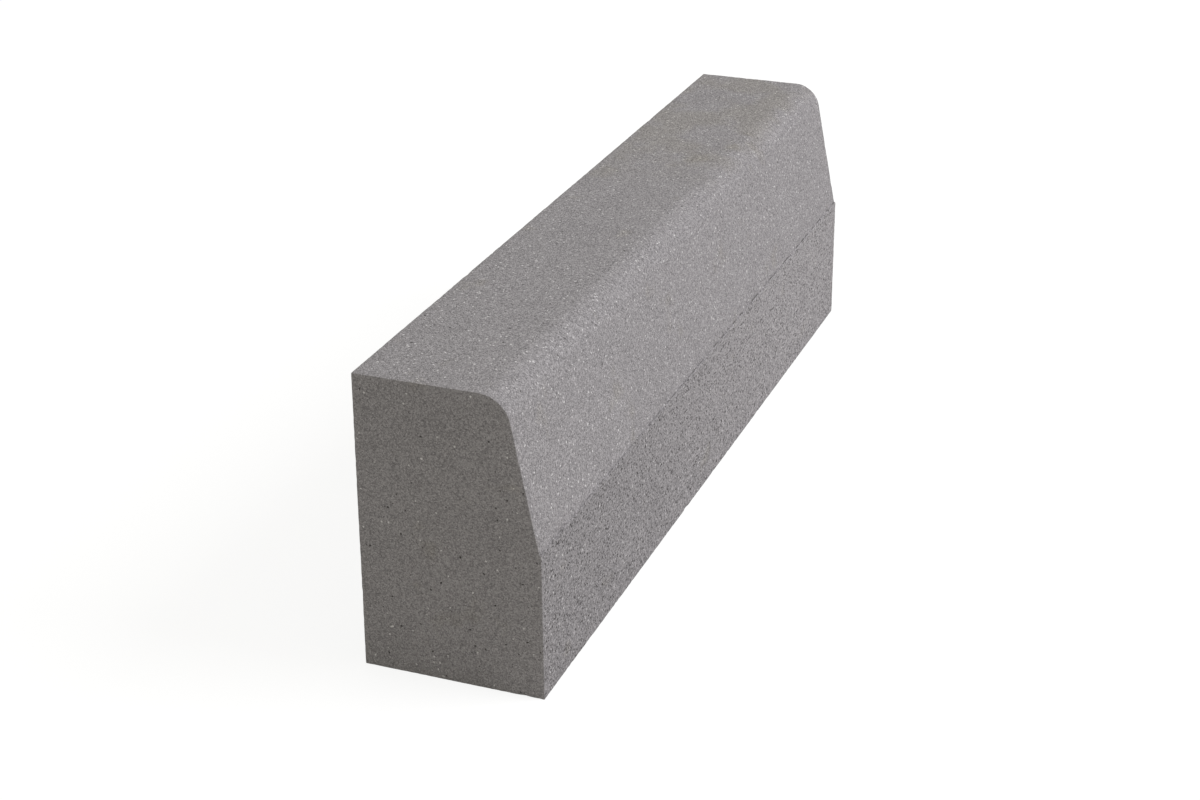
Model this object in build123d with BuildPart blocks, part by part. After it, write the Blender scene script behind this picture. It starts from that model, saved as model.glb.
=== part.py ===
"""A straight road kerb stone of pressed concrete: one solid with the same section from end to end."""
import os

from build123d import *

# Driving dimensions, in millimetres
length = 1000.0  # between the two ends that butt against the next stones
height = 300.0  # from the bed to the top
foot_width = 182.0  # across the bed, from the back to the road side
top_width = 148.0  # across the top, from the back to the corner that the nose rounds off
ledge_height = 150.0  # from the bed to the ledge, where the road surface usually ends
ledge_width = 1.8  # step from the lower face in to the foot of the batter
ledge_level = 0.6  # the part of that step that stays level, behind its rounded outer edge
face_draft = 1.5  # how far the lower face leans in, so that the stone leaves its mould
nose_radius = 30.0  # between the batter and the top

# The rounded outer edge of the ledge takes the rest of the ledge's width
shoulder_radius = ledge_width - ledge_level

# Corners of the section, as distance across the stone and height above the bed.
# The bed is centred on the origin, with the back on the + side and the road on the - side.
back = foot_width / 2
foot = back - foot_width
back_corner = (back, 0)
foot_corner = (foot, 0)
shoulder_corner = (foot + face_draft, ledge_height)
batter_corner = (foot + face_draft + ledge_width, ledge_height)
nose_corner = (back - top_width, height)
top_corner = (back, height)

os.makedirs("parts", exist_ok=True)

# The stone: its section is drawn across the kerb line, rounded, and drawn out to both ends
with BuildPart() as kerb_stone:
    with BuildSketch(Plane.YZ) as section:
        with BuildLine():
            Polyline(
                back_corner,
                foot_corner,
                shoulder_corner,
                batter_corner,
                nose_corner,
                top_corner,
                close=True,
            )
        make_face()
        fillet(section.vertices().sort_by_distance(nose_corner)[0], radius=nose_radius)
        fillet(section.vertices().sort_by_distance(shoulder_corner)[0], radius=shoulder_radius)
    extrude(amount=length / 2, both=True)

kerb_stone.part.label = "kerb_stone"
export_step(kerb_stone.part, "parts/kerb_stone.step")
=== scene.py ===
# %% [markdown]
# # A concrete kerb stone
# A road kerb like this one is a single block of concrete, pressed in a steel mould. The mould's walls
# form the lower face, the back and the two ends. A shoe comes down from above and forms the top, the
# rounded nose and the sloping upper face, which is called the batter. Where the shoe's rim meets the
# wall, a narrow ledge is left along the stone. The frame already holds the block at its real size, so
# everything here takes its place from the frame's box.

# %% Load the frame
import math
import random

import bmesh
import bpy
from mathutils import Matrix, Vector, noise


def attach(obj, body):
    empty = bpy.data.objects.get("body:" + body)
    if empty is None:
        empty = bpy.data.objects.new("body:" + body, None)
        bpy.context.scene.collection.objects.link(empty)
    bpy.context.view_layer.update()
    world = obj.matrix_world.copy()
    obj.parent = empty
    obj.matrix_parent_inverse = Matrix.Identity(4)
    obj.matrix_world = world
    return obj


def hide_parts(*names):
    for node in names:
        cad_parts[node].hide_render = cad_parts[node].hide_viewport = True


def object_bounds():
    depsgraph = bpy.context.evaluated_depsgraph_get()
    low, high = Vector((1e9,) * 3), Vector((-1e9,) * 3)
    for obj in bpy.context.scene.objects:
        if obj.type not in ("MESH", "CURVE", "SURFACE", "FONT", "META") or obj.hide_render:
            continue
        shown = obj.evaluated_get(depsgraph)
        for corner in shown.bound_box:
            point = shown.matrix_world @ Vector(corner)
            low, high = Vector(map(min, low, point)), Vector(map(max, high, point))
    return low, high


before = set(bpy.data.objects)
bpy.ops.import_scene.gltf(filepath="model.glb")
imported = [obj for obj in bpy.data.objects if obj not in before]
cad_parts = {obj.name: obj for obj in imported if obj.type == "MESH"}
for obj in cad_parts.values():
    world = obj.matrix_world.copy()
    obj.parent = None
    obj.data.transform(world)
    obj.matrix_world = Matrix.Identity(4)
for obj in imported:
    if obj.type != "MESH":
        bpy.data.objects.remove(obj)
cad_low, cad_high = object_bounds()
print("stone in the frame:", tuple(round(side, 4) for side in cad_high - cad_low), "m")

# %% [markdown]
# ## The section
# The stone has the same section from end to end. Its six corners are enough to describe it: the bed's
# two corners, the outer and inner corner of the ledge, the corner that the nose rounds off, and the top
# of the back. The block in the frame has long thin triangles, which can't carry relief, so the stone is
# modelled again here on an even grid of small squares.

# %% Sizes of the section, in metres
MM = 0.001
top_width = 148 * MM
ledge_height = 150 * MM
ledge_width = 1.8 * MM
ledge_level = 0.6 * MM  # the part of the ledge behind its rounded outer edge
face_draft = 1.5 * MM
nose_radius = 30 * MM
shoulder_radius = ledge_width - ledge_level
touch = 0.01 * MM  # two places nearer than this are the same place

near_end, far_end = cad_low.x, cad_high.x
foot, back = cad_low.y, cad_high.y
bed, top = cad_low.z, cad_high.z
ledge = bed + ledge_height
shoulder_corner = (foot + face_draft, ledge)
batter_corner = (foot + face_draft + ledge_width, ledge)
nose_corner = (back - top_width, top)
batter_lean = math.atan2(nose_corner[0] - batter_corner[0], nose_corner[1] - batter_corner[1])
print("the batter leans back by", round(math.degrees(batter_lean), 2), "degrees")

# %% [markdown]
# The outline could be drawn with every point of its two arcs, but an operator does that better. A vertex
# bevel with a profile of 0.5 turns a corner of a flat outline into an arc. The bevel is told how far from
# the corner the arc starts, and for a radius r and a turn t that is r times tan(t / 2).

# %% Draw the outline and round its two corners
def arc_start(radius, turn):
    """Distance from a corner at which an arc of that radius leaves its straight side."""
    return radius * math.tan(turn / 2)


def round_corner(mesh, corner, radius, turn, segments):
    """Replaces one corner of the outline by an arc."""
    nearest = min(mesh.verts, key=lambda v: (Vector(v.co.yz) - Vector(corner)).length)
    bmesh.ops.bevel(mesh, geom=[nearest], offset=arc_start(radius, turn), offset_type="OFFSET",
                    segments=segments, profile=0.5, affect="VERTICES", material=-1)


stone = bmesh.new()
corners = [(back, bed), (foot, bed), shoulder_corner, batter_corner, nose_corner, (back, top)]
outline = [stone.verts.new((near_end, across, up)) for across, up in corners]
stone.faces.new(outline)
quarter = math.pi / 2
nose_segments = 10
shoulder_segments = 2
round_corner(stone, nose_corner, nose_radius, quarter - batter_lean, nose_segments)
round_corner(stone, shoulder_corner, shoulder_radius, quarter, shoulder_segments)
print("corners of the rounded outline:", len(stone.verts))

# %% [markdown]
# Extruding that outline along the kerb line gives the whole block, with one long face for each side of
# the outline. The operator for single faces moves the outline to the far end and leaves the near end open,
# so that end is filled again. It makes its corners in the same order on every run, which matters later,
# where random numbers are dealt out to them.

# %% Draw the outline out into a block
length = far_end - near_end
grown = bmesh.ops.extrude_discrete_faces(stone, faces=stone.faces[:])
bmesh.ops.translate(stone, verts=grown["faces"][0].verts[:], vec=(length, 0, 0))
bmesh.ops.holes_fill(stone, edges=stone.edges[:], sides=0)
bmesh.ops.recalc_face_normals(stone, faces=stone.faces[:])
print("faces of the block:", len(stone.faces))

# %% [markdown]
# ## Arrises
# An arris is the sharp edge between two faces. On fresh concrete it is never a perfect line: it is a
# little blunt and loses grains. A Bevel modifier could blunt it, but the operator hands back the faces that
# it makes, and the wear has to find them. They are remembered in a face layer, because a face that is cut
# later hands its layer on to its pieces. The ledge's outer edge is round already, and its inner corner is
# hollow and stays as it is.

# %% Blunt the arrises
arris_radius = 0.8 * MM
arris_segments = 2
sharp = math.radians(60)
blunt_layer = stone.faces.layers.int.new("blunt")
arrises = [e for e in stone.edges if e.is_convex and e.calc_face_angle() > sharp]
blunted = bmesh.ops.bevel(stone, geom=arrises, offset=arris_radius, offset_type="OFFSET",
                          segments=arris_segments, profile=0.5, affect="EDGES", material=-1,
                          clamp_overlap=False)
for face in blunted["faces"]:
    face[blunt_layer] = 1
print("blunted", len(arrises), "edges with", len(blunted["faces"]), "faces")

# %% [markdown]
# ## An even grid
# Relief needs many small faces. A remesh would give them, but it would also blur the ledge. So the block
# is cut by planes, as with a cheese wire: level ones that meet the ledge exactly, and upright ones that
# run along the stone. That leaves a grid on the ends and long strips on the other faces, and cutting the
# long edges of those strips into steps finishes the grid there.

# %% Cut the block into small squares
grid_step = 4.8 * MM
across_axis, up_axis = 1, 2


def steps_in(distance):
    """How many grid steps a distance takes."""
    return round(distance / grid_step)


def slice_block(mesh, axis, low, high):
    """Cuts the whole block by planes square to an axis, at even steps from low to high."""
    way = Vector([float(axis == other) for other in range(3)])
    steps = steps_in(high - low)
    for step in range(1, steps):
        whole = mesh.verts[:] + mesh.edges[:] + mesh.faces[:]
        bmesh.ops.bisect_plane(mesh, geom=whole, dist=touch, plane_no=way,
                               plane_co=way * (low + (high - low) * step / steps))


slice_block(stone, across_axis, foot, back)
slice_block(stone, up_axis, bed, ledge)
slice_block(stone, up_axis, ledge, top)
long_edges = [e for e in stone.edges if e.calc_length() > length / 2]
bmesh.ops.subdivide_edges(stone, edges=long_edges, cuts=steps_in(length) - 1, use_grid_fill=True)
print("squares on the stone:", len(stone.faces), "closed:", all(e.is_manifold for e in stone.edges))

# %% [markdown]
# Now that every corner is there, those on an arris go into a vertex layer, so that the wear and the finish
# can find them. The ledge's outer edge counts as an arris that loses less. The level part of the ledge is
# the seam between shoe and wall, in the hollow corner under the batter. A second layer marks it for the
# finish, which paints a fine dark line there: partly the torn mix of the seam, partly painted shade of the
# hollow corner.

# %% Mark the corners on the arrises and on the seam
arris_layer = stone.verts.layers.float.new("arris")
seam_shade_layer = stone.verts.layers.float.new("seam")
ledge_wear = 0.5  # of what an arris loses
for vert in stone.verts:
    inwards = vert.co.y - batter_corner[0]
    on_edge = abs(vert.co.z - ledge) < shoulder_radius / 2 and inwards < -touch
    if any(face[blunt_layer] for face in vert.link_faces):
        vert[arris_layer] = 1.0
    elif on_edge:
        vert[arris_layer] = ledge_wear
    if abs(vert.co.z - ledge) < touch and -ledge_level - touch < inwards < touch:
        vert[seam_shade_layer] = 1.0
print("corners on the arrises:", sum(v[arris_layer] > 0 for v in stone.verts))
print("corners on the seam:", sum(v[seam_shade_layer] > 0 for v in stone.verts))

# %% [markdown]
# ## Smooth and torn skins
# The shoe squeezes the mix on the top, nose and batter, which leaves a closed sandy skin. The mould's
# walls drag on the lower face and the back as the stone is pushed out, and tear small pores open, most of
# all just below the ledge. The plates at the ends hardly drag, and leave a fine skin of paste over most
# grains. The board under the bed lies between the two. A material for each face could show this, but two
# face layers, which say how torn each face is and how bare its grains lie, serve the pores as well.

# %% Mark how torn and how bare each face is
torn_layer = stone.faces.layers.float.new("torn")
bare_layer = stone.faces.layers.float.new("bare")
skins = {"shoe": (0.0, 1.0), "wall": (1.0, 1.3), "end": (0.02, 0.45), "board": (0.4, 0.6)}  # torn, bare
ledge_band = 22 * MM  # the stretch below the ledge that is torn most
ledge_torn = 0.35  # how much more it is torn at the ledge itself
mostly = math.cos(math.radians(45))


def formed_by(face):
    """Which piece of the mould a face was pressed against."""
    if abs(face.normal.x) > mostly:
        return "end"
    if face.normal.z < -mostly:
        return "board"
    if face.normal.y > mostly or face.calc_center_median().z < ledge:
        return "wall"
    return "shoe"


def under_the_ledge(face):
    """How far a road face lies below the ledge, as a share of the ledge's band, or None outside it."""
    below = (ledge - face.calc_center_median().z) / ledge_band
    return below if face.normal.y < -mostly and 0 < below < 1 else None


stone.normal_update()
areas = dict.fromkeys(skins, 0.0)
for face in stone.faces:
    skin = formed_by(face)
    face[torn_layer], face[bare_layer] = skins[skin]
    areas[skin] += face.calc_area()
    below = under_the_ledge(face)
    if below is not None:
        face[torn_layer] += ledge_torn * (1 - below)
print("square metres:", {skin: round(area, 3) for skin, area in areas.items()})

# %% [markdown]
# Pores that start from the squares of an even grid would stand in rows. So the grid's corners are shifted
# a little at random, now that the faces are still flat. Each one stays in the plane of its own face, and
# moves by a part of its shortest edge, so that no square folds over.

# %% Shift the grid within its faces
draw = random.Random(11)  # a fixed seed, for the same stone on every run
shift = 0.26  # of the shortest edge
same_way = math.cos(math.radians(0.2))
stone.normal_update()
moved = 0
for vert in stone.verts:
    flat = all(face.normal.dot(vert.normal) > same_way for face in vert.link_faces)
    if flat and vert[arris_layer] == 0:
        reach = shift * min(edge.calc_length() for edge in vert.link_edges)
        step = Vector([draw.uniform(-reach, reach) for axis in range(3)])
        vert.co += step - vert.normal * step.dot(vert.normal)
        moved += 1
print("shifted corners:", moved)

# %% [markdown]
# ## Relief
# A pressed face is flat to a fraction of a millimetre. Slow swells and small ripples come from noise at
# two sizes, and the arrises lose crumbs and, here and there, a chip. A Displace modifier could move the
# corners, but it moves them both ways. Here every move is inwards, along the corner's own normal, so the
# stone never grows past its real size.

# %% Swells, crumbs and chips
swell_size, swell_depth = 90 * MM, 0.25 * MM
ripple_size, ripple_depth = 14 * MM, 0.10 * MM
crumb_size, crumb_depth = 5 * MM, 0.6 * MM
chip_size, chip_depth, chip_start = 21 * MM, 3.0 * MM, 0.45


def hollow(place, size):
    """Smooth noise between 0 and 1, with dips about that size."""
    return 0.5 + 0.5 * noise.noise(place / size)


def wear(place):
    """How much an arris has lost at a place."""
    crumb = max(0.0, noise.noise(place / crumb_size)) * crumb_depth
    chip = max(0.0, noise.noise(place / chip_size) - chip_start) * chip_depth
    return crumb + chip


deepest = 0.0
for vert in stone.verts:
    place = vert.co.copy()
    lost = vert[arris_layer] * wear(place)
    depth = swell_depth * hollow(place, swell_size) + ripple_depth * hollow(place, ripple_size) + lost
    vert.co = place - vert.normal * depth
    deepest = max(deepest, lost)
print("deepest arris wear:", round(deepest / MM, 2), "mm")

# %% [markdown]
# ## Pores
# The dark dots on the lower face and the back are small open pores, up to about three millimetres across,
# and they crowd just below the ledge. The other faces have fewer, and smaller ones. Painted dots would look
# flat from close by, so the pores are pits in the mesh. Each one starts from a square of the grid: an inset
# leaves a smaller square in its middle, cutting that square's sides in two gives it eight corners, which
# are brought to a ring, and poke sinks a new corner in the middle.

# %% Sink a pore into a square
# this layer marks the bottoms of the pits, where the finish paints shade
pit_shade_layer = stone.verts.layers.float.new("pore")
least_width = 0.5  # of a torn face's pores, on a smooth face
pore_depth = 0.55  # of the width that it has on a torn face
pore_rim = 0.4 * MM  # least distance from a pore to the sides of its square


def open_pores(mesh, squares, width):
    """Turns squares into round pits of that width, or less where the skin is closed or the square small."""
    bmesh.ops.inset_individual(mesh, faces=squares, thickness=pore_rim, use_even_offset=True)
    sides = dict.fromkeys(edge for face in squares for edge in face.edges)
    bmesh.ops.bisect_edges(mesh, edges=list(sides), cuts=1)
    for face in squares:
        middle = face.calc_center_median()
        share = least_width + (1 - least_width) * face[torn_layer]
        ring = min(share * width / 2, *((vert.co - middle).length for vert in face.verts))
        for vert in face.verts:
            vert.co = middle + (vert.co - middle).normalized() * ring
    pits = bmesh.ops.poke(mesh, faces=squares, offset=-width * pore_depth, center_mode="MEAN")
    for vert in pits["verts"]:
        vert[pit_shade_layer] = 1.0


print("on a torn face a pore is", pore_depth, "of its width deep")

# %% [markdown]
# A random number for each square decides whether it holds a pore. The operators above don't keep faces in
# the same order on every run, so the squares are first put in order by their place. Then the same numbers
# fall on the same squares each time.

# %% Open the pores
least_pores, torn_pores, ledge_pores = 120, 5600, 9000  # to the square metre
pore_sizes = [(1.4 * MM, 0.20), (2.0 * MM, 0.30), (2.7 * MM, 0.30), (3.4 * MM, 0.20)]  # width, share
whole_square = 0.5 * grid_step ** 2  # a face smaller than this is only a part of a square


def pores_wanted(face):
    """How many pores to the square metre the skin of a face has."""
    if under_the_ledge(face) is not None:
        return ledge_pores
    return least_pores + (torn_pores - least_pores) * face[torn_layer]


def holds_a_pore(face):
    """True for a whole square of the grid that is clear of the arrises and is drawn for a pore."""
    whole = len(face.verts) == 4 and face.calc_area() > whole_square
    clear = all(vert[arris_layer] == 0 for vert in face.verts)
    return whole and clear and draw.random() < pores_wanted(face) * face.calc_area()


in_order = sorted(stone.faces, key=lambda face: tuple(face.calc_center_median()))
squares = [face for face in in_order if holds_a_pore(face)]
draw.shuffle(squares)
first = 0
for width, share in pore_sizes:
    count = round(share * len(squares))
    open_pores(stone, squares[first:first + count], width)
    first += count
print("open pores:", first)

# %% [markdown]
# ## The finished mesh
# Faces are shaded smooth, and only real creases, such as arrises and the rims of pores, stay sharp. The
# piece then stands for the block in the frame and rides on the frame's only body.

# %% Make the stone an object
crease = math.radians(32)
for face in stone.faces:
    face.smooth = True
for edge in stone.edges:
    edge.smooth = edge.calc_face_angle() < crease
surface = bpy.data.meshes.new("pressed_kerb")
stone.to_mesh(surface)
stone.free()
kerb = bpy.data.objects.new("pressed_kerb", surface)
bpy.context.scene.collection.objects.link(kerb)
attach(kerb, "root")
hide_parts("kerb_stone")
surface.calc_loop_triangles()
print("triangles:", len(surface.loop_triangles))

# %% [markdown]
# ## Writing a material as sums
# A material is a graph of nodes, and long graphs are easier to read as sums. A Wire stands for one
# output of a node, and Python's operators on it add Math nodes.

# %% Wires
class Wire:
    """A value on its way from one node to the next. Arithmetic on it adds Math nodes."""

    def __init__(self, sheet, socket):
        self.sheet = sheet
        self.socket = socket

    def out(self, name):
        """Another output of the same node."""
        return Wire(self.sheet, self.sheet.find(self.socket.node.outputs, name))

    def maths(self, operation, first, second):
        """One Math node on two values."""
        return self.sheet.node("ShaderNodeMath", {"operation": operation}, {0: first, 1: second})

    def __add__(self, other):
        return self.maths("ADD", self, other)

    def __sub__(self, other):
        return self.maths("SUBTRACT", self, other)

    def __rsub__(self, other):
        return self.maths("SUBTRACT", other, self)

    def __mul__(self, other):
        return self.maths("MULTIPLY", self, other)

    def __gt__(self, other):
        return self.maths("GREATER_THAN", self, other)

    __radd__ = __add__
    __rmul__ = __mul__


print("a wire takes + - * and >")

# %% [markdown]
# A NodeSheet holds the nodes of one material, or of the world. One method makes any node from its type,
# its settings and what goes into its sockets, and three more give the nodes that are used most a short
# name.

# %% Node sheets
class NodeSheet:
    """The nodes of one material, or of the world."""

    def __init__(self, tree):
        tree.nodes.clear()
        self.tree = tree

    def find(self, sockets, key):
        """A socket that is in use, by its place or its name."""
        usable = [s for s in sockets if s.enabled]
        return usable[key] if isinstance(key, int) else next(s for s in usable if s.name == key)

    def node(self, kind, settings=None, sockets=None, out=0):
        """Adds a node and gives back one of its outputs."""
        made = self.tree.nodes.new(kind)
        for name, value in (settings or {}).items():
            setattr(made, name, value)
        for key, value in (sockets or {}).items():
            socket = self.find(made.inputs, key)
            if isinstance(value, Wire):
                self.tree.links.new(value.socket, socket)
            elif socket.type == "RGBA":
                socket.default_value = (*value, 1.0)
            else:
                socket.default_value = value
        return Wire(self, self.find(made.outputs, out)) if made.outputs else None

    def between(self, value, low, high, at_low=0.0, at_high=1.0):
        """Goes smoothly from one value to another as the input goes from low to high."""
        ends = {"Value": value, "From Min": low, "From Max": high, "To Min": at_low, "To Max": at_high}
        return self.node("ShaderNodeMapRange", {"interpolation_type": "SMOOTHSTEP"}, ends)

    def blend(self, amount, under, over, kind="MIX"):
        """Lays one colour over another."""
        settings = {"data_type": "RGBA", "blend_type": kind, "clamp_factor": True}
        return self.node("ShaderNodeMix", settings, {"Factor": amount, "A": under, "B": over})

    def noise(self, place, size, detail=2.0, roughness=0.5):
        """Cloudy noise whose clouds are about that size."""
        inputs = {"Vector": place, "Scale": 1 / size, "Detail": detail, "Roughness": roughness}
        return self.node("ShaderNodeTexNoise", {}, inputs)


print("a node sheet makes every other node")

# %% [markdown]
# ## The concrete
# Concrete is sand and fine stone in a grey cement paste. A picture of concrete could be laid on the faces,
# but it would repeat and break at the arrises. Textures that are worked out at each place in space run on
# over every arris, as the real mix does. Sizes are in millimetres here, so the first step turns the
# object's metres into millimetres. A fine crumple then moves each place a little before a texture reads
# it, because grains and pinholes with even outlines look drawn.

# %% Start the concrete
concrete = bpy.data.materials.new("pressed_concrete")
concrete.use_nodes = True
mix = NodeSheet(concrete.node_tree)
metres = mix.node("ShaderNodeTexCoord", {}, {}, "Object")
flat_place = mix.node("ShaderNodeVectorMath", {"operation": "SCALE"}, {"Vector": metres, "Scale": 1 / MM})
crumple_size, crumple_reach = 4.0, 3.0  # millimetres
crumple = mix.noise(flat_place, crumple_size, detail=2.0, roughness=0.65).out("Color")
place = mix.node("ShaderNodeVectorMath", {"operation": "MULTIPLY_ADD"},
                 {0: crumple, 1: (crumple_reach, crumple_reach, crumple_reach), 2: flat_place})
print("crumple: clouds of", crumple_size, "mm that move a place by up to", crumple_reach, "mm")

# %% [markdown]
# The mesh already knows where it is torn and bare, and where its seam, pores and arrises lie. An Attribute
# node reads such a layer, so nothing has to be painted by hand.

# %% Read the layers of the mesh
def layer(sheet, name):
    """What a layer of the mesh says at a place."""
    return sheet.node("ShaderNodeAttribute", {"attribute_name": name}, {}, "Fac")


layers = ("torn", "bare", "seam", "pore", "arris")
torn, bare, seam, pit_shade, arris = [layer(mix, name) for name in layers]
print("layers in the finish:", ", ".join(layers))

# %% [markdown]
# Seen close, every grain of sand has its own tone and a dark line round it. Voronoi cells give grains of
# the right size: each cell has a point, and the distance from that point tells the middle of a grain from
# the gaps between grains. A cell's own colour is tied to where its point lies, so a White Noise node draws
# a fresh number from it. Noise gives lumps of a few grains and wide clouds of paste. Two textures that are
# read at the same place would line up, so most of them are read in another part of space.

# %% Sand, lumps and clouds
sand_spacing, lump_size, cloud_size = 1.2, 2.6, 60  # millimetres
gap_start, gap_full = 0.40, 0.85  # away from a grain's point, in spacings
apart = {"lumps": 23, "light": 41, "dark": 61, "pinholes": 137, "seam": 211, "patches": 311,
         "batten": 401}  # how far away each texture is read, in millimetres


def cells(sheet, place, spacing):
    """How far a place is from its cell's point, in spacings, and a number that the whole cell shares."""
    found = sheet.node("ShaderNodeTexVoronoi", {"feature": "F1"}, {"Vector": place, "Scale": 1 / spacing})
    return found, sheet.node("ShaderNodeTexWhiteNoise", {}, {"Vector": found.out("Color")})


def elsewhere(sheet, place, distance):
    """The same place in another part of space, so that two textures don't line up."""
    away = (distance, distance, distance)
    return sheet.node("ShaderNodeVectorMath", {"operation": "ADD"}, {0: place, 1: away})


def blots(sheet, place, size, start, full, detail=2.0):
    """Blots of about that size: none where the noise is below start, and whole where it is above full."""
    return sheet.between(sheet.noise(place, size, detail), start, full)


sand_away, sand_tone = cells(mix, place, sand_spacing)
gaps = mix.between(sand_away, gap_start, gap_full)
lumps = mix.noise(elsewhere(mix, place, apart["lumps"]), lump_size, detail=1.0)
clouds = blots(mix, place, cloud_size, start=0.3, full=0.7, detail=3.0)
print("grains of sand:", sand_spacing, "mm apart")

# %% [markdown]
# Single grains are much lighter or darker than the rest, and pinholes too fine for the mesh look dark
# because little light gets out of them. A grain is a ball round the point of a Voronoi cell, and only some
# cells hold one. Where the surface cuts the ball decides how wide the grain shows, as on real stone. Discs
# strewn over the faces would all show at their full width.

# %% Light grains, dark grains and pinholes
def grains(sheet, place, spacing, radius, share, softness=0.35):
    """A mask of round grains: spacing and radius in millimetres, and the share of cells that hold one."""
    away, pick = cells(sheet, place, spacing)
    edge = radius / spacing
    return (pick > 1 - share) * sheet.between(away, edge * (1 - softness), edge, 1.0, 0.0)


light_bare, light_torn = 0.17, 0.196  # shown where grains lie bare, and lost where the skin is torn
dark_bare, dark_torn = 0.08, 0.07  # shown where grains lie bare, and more where the skin is torn
pinhole_least, pinhole_torn = 0.005, 0.425  # hardly any where the skin is closed
light_share = light_bare * bare * bare - light_torn * torn
dark_share = dark_bare * bare * bare + dark_torn * torn
pinhole_share = pinhole_least + pinhole_torn * torn
light = grains(mix, elsewhere(mix, place, apart["light"]), spacing=4.0, radius=1.2, share=light_share)
dark = grains(mix, elsewhere(mix, place, apart["dark"]), spacing=3.2, radius=1.0, share=dark_share)
pinholes = grains(mix, elsewhere(mix, place, apart["pinholes"]), spacing=3.4, radius=1.25,
                  share=pinhole_share)
print("nodes so far:", len(concrete.node_tree.nodes))

# %% [markdown]
# A stone from the yard isn't one tone all over. Its torn skins are lighter towards the far end.
# A faint ochre stain, such as a wooden batten leaves, lies on the far half of the top, and small stains lie
# on all faces. The seam's dark line, partly painted shade of the ledge's hollow corner, breaks off and
# starts again. Each of these is a smooth step along the stone or up it, or blots of noise, or one times the
# other.

# %% Lightening along the stone, stains and the broken seam line
lighten_start, lighten_end = -450, 350  # along the stone, in millimetres
batten_start, batten_full = 40, 240  # along the stone
batten_low, batten_high = 286, 299  # above the bed
patch_size, batten_blot, seam_break_size = 45, 70, 14

along = mix.node("ShaderNodeSeparateXYZ", {}, {"Vector": flat_place}, "X")
above = along.out("Z")
lighten = mix.between(along, lighten_start, lighten_end)
patches = blots(mix, elsewhere(mix, place, apart["patches"]), patch_size, start=0.62, full=0.74)
batten = mix.between(along, batten_start, batten_full) * mix.between(above, batten_low, batten_high)
batten = batten * blots(mix, elsewhere(mix, place, apart["batten"]), batten_blot, start=0.40, full=0.60)
seam_shade_breaks = blots(mix, elsewhere(mix, place, apart["seam"]), seam_break_size, start=0.44, full=0.60, detail=1.0)
print("the torn skins dry over", lighten_end - lighten_start, "mm")

# %% [markdown]
# The paste is coloured first. Its two greys drift into each other in wide clouds, and the shades of sand,
# lumps, gaps and a lightening towards the far end multiply them. One even grey would be simpler, but close
# by it looks like plastic.

# %% Colour the paste
paste_dark = (0.337, 0.3225, 0.334)
paste_light = (0.349, 0.334, 0.346)
sand_darkest, sand_range = 0.73, 0.66
lump_range, lump_middle = 0.95, 0.5
gap_dark = 0.26
near_end_dark, far_end_lift = 0.075, 0.18  # darker at the near end, and how much of that is lifted towards the far end

sand_shade = sand_darkest + sand_range * sand_tone
lump_shade = 1 + lump_range * bare * bare * (lumps - lump_middle)
gap_shade = 1 - gap_dark * gaps
along_shade = 1 - torn * (near_end_dark - far_end_lift * lighten)
colour = mix.blend(clouds, paste_dark, paste_light)
colour = mix.blend(1.0, colour, sand_shade * lump_shade * gap_shade * along_shade, "MULTIPLY")
print("shades of sand:", sand_darkest, "to", round(sand_darkest + sand_range, 2))

# %% [markdown]
# Grains, stains, pinholes and pores are laid over the paste, each by its own mask. Pinholes and pores come
# after the others, because a hole is dark whatever lay there before: their dark is painted shade, with some
# dust in the pores. A stain multiplies the colour instead of covering it, because it soaks in. Last come
# the arrises, which show a little more light paste, and the seam's dark line, which is partly painted shade
# of the ledge's hollow corner.

# %% Lay grains, stains and pores over the paste
light_grain = (0.80, 0.785, 0.79)
dark_grain = (0.105, 0.100, 0.100)
stain_tint = (0.94, 0.92, 0.81)
# the dark of painted shade in pinholes, pores and the seam, with some dust in the pores
shade_and_dust_colour = (0.055, 0.051, 0.049)
light_cover, dark_cover, pinhole_cover, pit_shade_cover, arris_cover = 0.85, 0.75, 0.9, 0.95, 0.25
patch_cover, batten_cover = 0.35, 0.45
pit_rim, pit_inside = 0.05, 0.5  # of the way from a pore's ring to its bottom
seam_edge, seam_middle = 0.7, 1.0  # of the way from beside the seam onto it
seam_least, seam_far_gain = 0.25, 0.45  # the seam's dark line shows more towards the far end

# the seam's dark line: partly torn mix, partly painted shade of the ledge's hollow corner
seam_shade_cover = mix.between(seam, seam_edge, seam_middle) * seam_shade_breaks * (seam_least + seam_far_gain * lighten)
colour = mix.blend(light_cover * light, colour, light_grain)
colour = mix.blend(dark_cover * dark, colour, dark_grain)
colour = mix.blend(patch_cover * patches + batten_cover * batten, colour, stain_tint, "MULTIPLY")
# pinholes: painted shade in holes too fine for the mesh
colour = mix.blend(pinhole_cover * pinholes, colour, shade_and_dust_colour)
# pores: painted shade inside the pits, with some dust, over the pits' own shadow
colour = mix.blend(pit_shade_cover * mix.between(pit_shade, pit_rim, pit_inside), colour, shade_and_dust_colour)
colour = mix.blend(arris_cover * arris, colour, paste_light)
colour = mix.blend(seam_shade_cover, colour, shade_and_dust_colour)
print("nodes so far:", len(concrete.node_tree.nodes))

# %% [markdown]
# Single grains of sand are finer than the grid of the mesh, so their relief, well under a millimetre, is
# left to a Bump node: sand is rounded, light grains stand out a little, and pinholes sink in. Concrete is
# matt, and only its light grains have some gloss.

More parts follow.
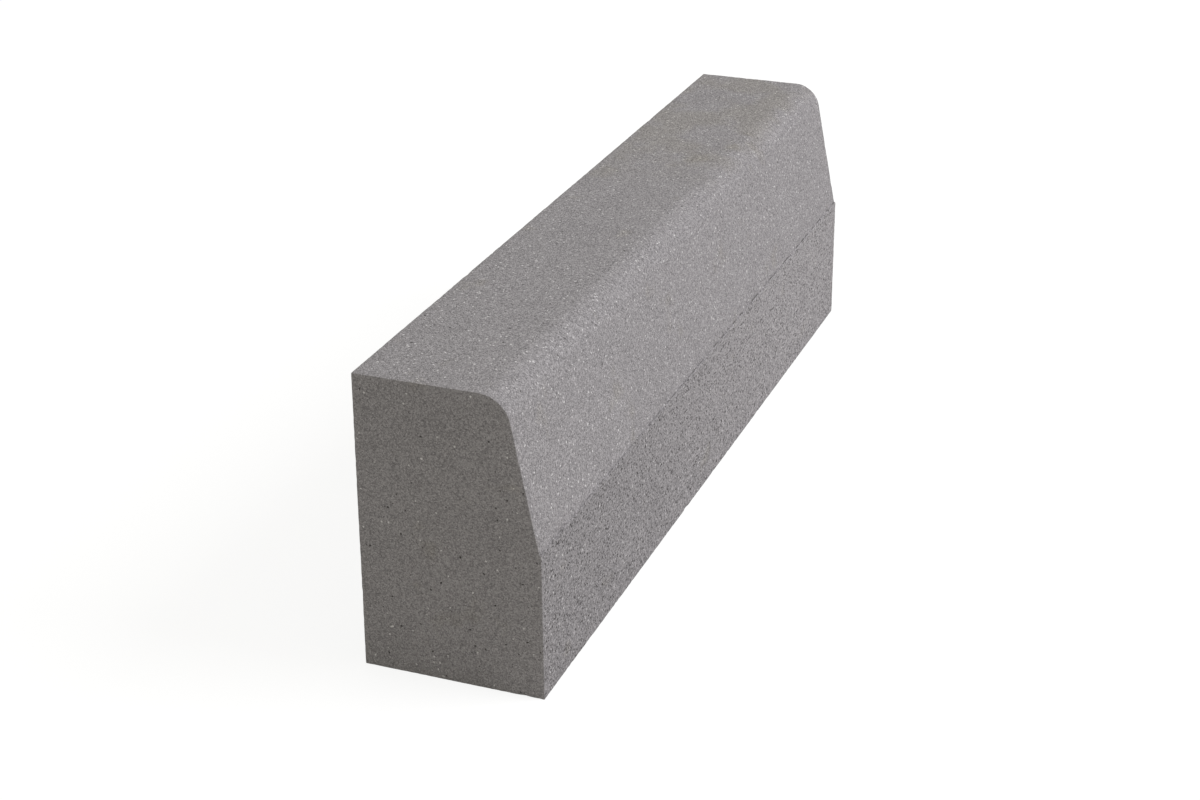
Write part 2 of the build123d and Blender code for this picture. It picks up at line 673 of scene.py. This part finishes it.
# %% Relief and gloss
light_rise, dark_dip, sand_round, lump_rise, pinhole_depth = 0.10, 0.06, 0.60, 0.40, 0.55  # millimetres
paste_roughness, grain_gloss, specular = 0.93, 0.18, 0.3
height = (light_rise * light - sand_round * sand_away * sand_away + lump_rise * lumps
          - dark_dip * dark - pinhole_depth * pinholes)
relief = mix.node("ShaderNodeBump", {}, {"Strength": 1.0, "Distance": MM, "Height": height})
roughness = paste_roughness - grain_gloss * light
stone_shader = mix.node("ShaderNodeBsdfPrincipled", {}, {
    "Base Color": colour, "Roughness": roughness, "Normal": relief, "Specular IOR Level": specular})
mix.node("ShaderNodeOutputMaterial", {}, {"Surface": stone_shader})
surface.materials.append(concrete)
print("nodes in the concrete:", len(concrete.node_tree.nodes))

# %% [markdown]
# ## Camera
# The stone is seen end on and from above, from its road side. The camera stands where the picture's
# corners put it and is level from side to side. A shifted lens could draw the upright edges parallel, but
# every other view would keep that shift, so the lens has none.

# %% Set the camera
camera_place = (-2.0820, -0.7413, 1.0900)
camera_yaw, camera_pitch = math.radians(20.649), math.radians(24.722)
picture_width, focal_length = 1200, 2193.3  # pixels
eye = bpy.data.cameras.new("camera")
eye.sensor_width = 36.0
eye.lens = focal_length * eye.sensor_width / picture_width
camera = bpy.data.objects.new("camera", eye)
camera.location = camera_place
camera.rotation_euler = (quarter - camera_pitch, 0.0, camera_yaw - quarter)
bpy.context.scene.collection.objects.link(camera)
bpy.context.scene.camera = camera
print("lens:", round(eye.lens, 1), "mm")

# %% [markdown]
# ## Floor and light
# A studio floor runs far past the picture. To show pure white, a real floor would need so much light that
# the stone turned pale. So the camera sees the floor white, with the stone's soft shadow on it, while the
# light that it throws back on the stone is that of a pale grey floor.

# %% Lay the floor
floor_size = 60.0
floor_mesh = bpy.data.meshes.new("floor")
plane = bmesh.new()
bmesh.ops.create_grid(plane, x_segments=1, y_segments=1, size=floor_size / 2)
plane.to_mesh(floor_mesh)
plane.free()
floor = bpy.data.objects.new("floor", floor_mesh)
bpy.context.scene.collection.objects.link(floor)
print("floor laid,", floor_size, "m wide")

# %% [markdown]
# The Light Path node tells a look from the camera, straight or by way of a reflection, from light on its
# way through the room. A Mix Shader then picks one of two floors.

# %% Paint the floor
floor_grey = (0.60, 0.585, 0.555)  # what the stone sees of the floor
shown_white = 0.85  # what the camera sees of it by itself
shown_grey = (0.24, 0.24, 0.24)  # and of the light and shadow on it
white_colour = (1.0, 1.0, 1.0)


def seen_directly(sheet):
    """1 where the camera looks at a thing itself or at its reflection, and 0 for light on its way."""
    path = sheet.node("ShaderNodeLightPath", {}, {}, "Is Camera Ray")
    return path.maths("MAXIMUM", path.maths("MAXIMUM", path, path.out("Is Glossy Ray")),
                      path.out("Is Transmission Ray"))


paint = bpy.data.materials.new("studio_floor")
paint.use_nodes = True
coat = NodeSheet(paint.node_tree)
matt = coat.node("ShaderNodeBsdfDiffuse", {}, {"Color": floor_grey})
shaded = coat.node("ShaderNodeBsdfDiffuse", {}, {"Color": shown_grey})
white = coat.node("ShaderNodeEmission", {}, {"Color": white_colour, "Strength": shown_white})
shown = coat.node("ShaderNodeAddShader", {}, {0: shaded, 1: white})
floor_shader = coat.node("ShaderNodeMixShader", {}, {0: seen_directly(coat), 1: matt, 2: shown})
coat.node("ShaderNodeOutputMaterial", {}, {"Surface": floor_shader})
floor_mesh.materials.append(paint)
print("nodes in the floor:", len(paint.node_tree.nodes))

# %% [markdown]
# Soft light from all round fills the shadows, as from the walls of a white room. Lamps on every side could
# do that, but each would add a shadow of its own. So the light comes from the world, and the camera sees
# the world as a white backdrop.

# %% Light from all round
around_level, around_tint = 0.47, (1.0, 0.980, 0.890)
world = bpy.data.worlds.new("studio")
world.use_nodes = True
bpy.context.scene.world = world
air = NodeSheet(world.node_tree)
around = air.node("ShaderNodeBackground", {}, {"Color": around_tint, "Strength": around_level})
backdrop = air.node("ShaderNodeBackground", {}, {"Color": white_colour, "Strength": 1.0})
sky = air.node("ShaderNodeMixShader", {}, {0: seen_directly(air), 1: around, 2: backdrop})
air.node("ShaderNodeOutputWorld", {}, {"Surface": sky})
print("light from all round:", around_level)

# %% [markdown]
# One large lamp stands on the road side. It lights the batter most, the top and the lower face less, and
# leaves the near end in the shade, so that each face has its own tone. Its size keeps the shadow soft.

# %% Light from the road side
def soft_lamp(name, turn, rise, distance, size, level, tint):
    """A square lamp aimed at the stone's middle. Its turn is from the road side towards the far end, its
    rise is above the floor, and a level of 1 shows a colour as it is written on a face turned to it."""
    aim = (cad_low + cad_high) / 2
    way = Vector((math.sin(turn) * math.cos(rise), -math.cos(turn) * math.cos(rise), math.sin(rise)))
    lamp = bpy.data.lights.new(name, "AREA")
    lamp.size = size
    lamp.color = tint
    lamp.energy = level * math.pi ** 2 * distance ** 2
    holder = bpy.data.objects.new(name, lamp)
    holder.location = aim + way * distance
    holder.rotation_euler = way.to_track_quat("Z", "Y").to_euler()
    bpy.context.scene.collection.objects.link(holder)
    return lamp


key = soft_lamp("road_side_lamp", turn=math.radians(15), rise=math.radians(40), distance=7.0, size=3.6,
                level=0.665, tint=(0.945, 0.95, 1.0))
bpy.context.scene.view_settings.view_transform = "Standard"
print("lamp:", round(key.energy), "W")
